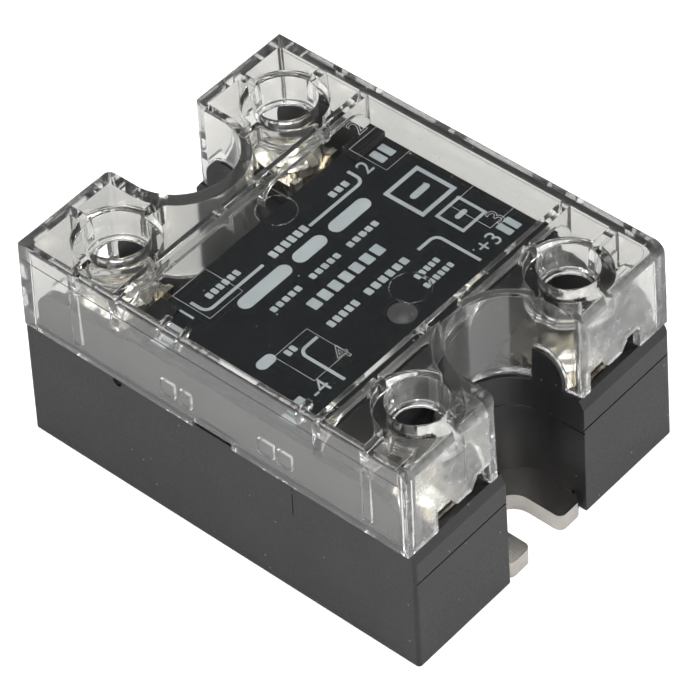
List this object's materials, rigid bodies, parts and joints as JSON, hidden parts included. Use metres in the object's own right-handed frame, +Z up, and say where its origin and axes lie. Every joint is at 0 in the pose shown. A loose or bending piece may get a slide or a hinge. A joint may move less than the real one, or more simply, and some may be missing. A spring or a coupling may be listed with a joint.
{
  "type": "solid state relay",
  "caption": "Panel-mount solid state relay with metal base, black housing, screw terminals at both ends and a clear lift-off touch-safe cover.",
  "frame": {"origin": "centre of the underside of the metal base", "axes": "+Z up out of the base, +X towards the control input terminals, +Y completes a right-handed frame"},
  "size_m": [0.0578, 0.0446, 0.03],
  "materials": {
    "base_metal": "tumbled, light warm grey",
    "housing_plastic": "fine moulded satin, charcoal black",
    "label_film": "satin printed film",
    "lens_plastic": "dark tinted, polished",
    "nut_steel": "zinc plated",
    "solder": "dull solder",
    "ceramic": "fired alumina",
    "copper": "bare copper",
    "silicon": "passivated chip",
    "pin_metal": "tinned wire",
    "board_laminate": "solder-masked glass-epoxy",
    "component_black": "moulded epoxy",
    "resistor_body": "glazed chip",
    "capacitor_body": "dipped film capacitor",
    "led_body": "diffused epoxy",
    "potting_resin": "cast epoxy",
    "clear_polycarbonate": "clear, faintly smoky, end faces frosted",
    "plated_copper": "nickel-plated strip",
    "clamp_nickel": "nickel-plated pressing",
    "screw_nickel": "nickel-plated"
  },
  "bodies": {
    "relay_body": {"baseplate": "base_metal", "housing": "housing_plastic", "label": "label_film", "status_lens": "lens_plastic", "output_nuts": "nut_steel", "input_nuts": "nut_steel", "output_lead_1": "plated_copper", "output_lead_2": "plated_copper", "input_lead_3": "plated_copper", "input_lead_4": "plated_copper", "solder_layer": "solder", "ceramic_substrate": "ceramic", "copper_pads": "copper", "thyristor_chips": "silicon", "chip_clips": "copper", "gate_pins": "pin_metal", "control_board": "board_laminate", "optocoupler": "component_black", "current_regulator": "component_black", "chip_resistors": "resistor_body", "snubber_capacitor": "capacitor_body", "status_led": "led_body", "potting": "potting_resin"},
    "cover_body": {"cover": "clear_polycarbonate"},
    "clamp_1": {"output_clamp_1": "clamp_nickel"},
    "screw_1": {"output_screw_1": "screw_nickel"},
    "clamp_2": {"output_clamp_2": "clamp_nickel"},
    "screw_2": {"output_screw_2": "screw_nickel"},
    "clamp_3": {"input_clamp_3": "clamp_nickel"},
    "screw_3": {"input_screw_3": "screw_nickel"},
    "clamp_4": {"input_clamp_4": "clamp_nickel"},
    "screw_4": {"input_screw_4": "screw_nickel"}
  },
  "joints": [
    {"name": "cover_lift", "type": "slide", "parent": "relay_body", "child": "cover_body", "axis": [0, 0, 1], "range_m": [0, 0.02]},
    {"name": "clamp_1_rise", "type": "slide", "parent": "relay_body", "child": "clamp_1", "axis": [0, 0, 1], "range_m": [0, 0.00317]},
    {"name": "screw_1_turn", "type": "hinge", "parent": "clamp_1", "child": "screw_1", "pos_m": [-0.0203, -0.014, 0.02], "axis": [0, 0, 1], "range_deg": [0, 1440]},
    {"name": "clamp_2_rise", "type": "slide", "parent": "relay_body", "child": "clamp_2", "axis": [0, 0, 1], "range_m": [0, 0.00317]},
    {"name": "screw_2_turn", "type": "hinge", "parent": "clamp_2", "child": "screw_2", "pos_m": [-0.0203, 0.014, 0.02], "axis": [0, 0, 1], "range_deg": [0, 1440]},
    {"name": "clamp_3_rise", "type": "slide", "parent": "relay_body", "child": "clamp_3", "axis": [0, 0, 1], "range_m": [0, 0.00317]},
    {"name": "screw_3_turn", "type": "hinge", "parent": "clamp_3", "child": "screw_3", "pos_m": [0.0219, 0.0127, 0.02], "axis": [0, 0, 1], "range_deg": [0, 1440]},
    {"name": "clamp_4_rise", "type": "slide", "parent": "relay_body", "child": "clamp_4", "axis": [0, 0, 1], "range_m": [0, 0.00317]},
    {"name": "screw_4_turn", "type": "hinge", "parent": "clamp_4", "child": "screw_4", "pos_m": [0.0219, -0.0127, 0.02], "axis": [0, 0, 1], "range_deg": [0, 1440]}
  ],
  "couplings": [
    {"joint": "screw_1_turn", "follows": "clamp_1_rise", "rad_per_m": 7915.8},
    {"joint": "screw_2_turn", "follows": "clamp_2_rise", "rad_per_m": 7915.8},
    {"joint": "screw_3_turn", "follows": "clamp_3_rise", "rad_per_m": 7915.8},
    {"joint": "screw_4_turn", "follows": "clamp_4_rise", "rad_per_m": 7915.8}
  ]
}
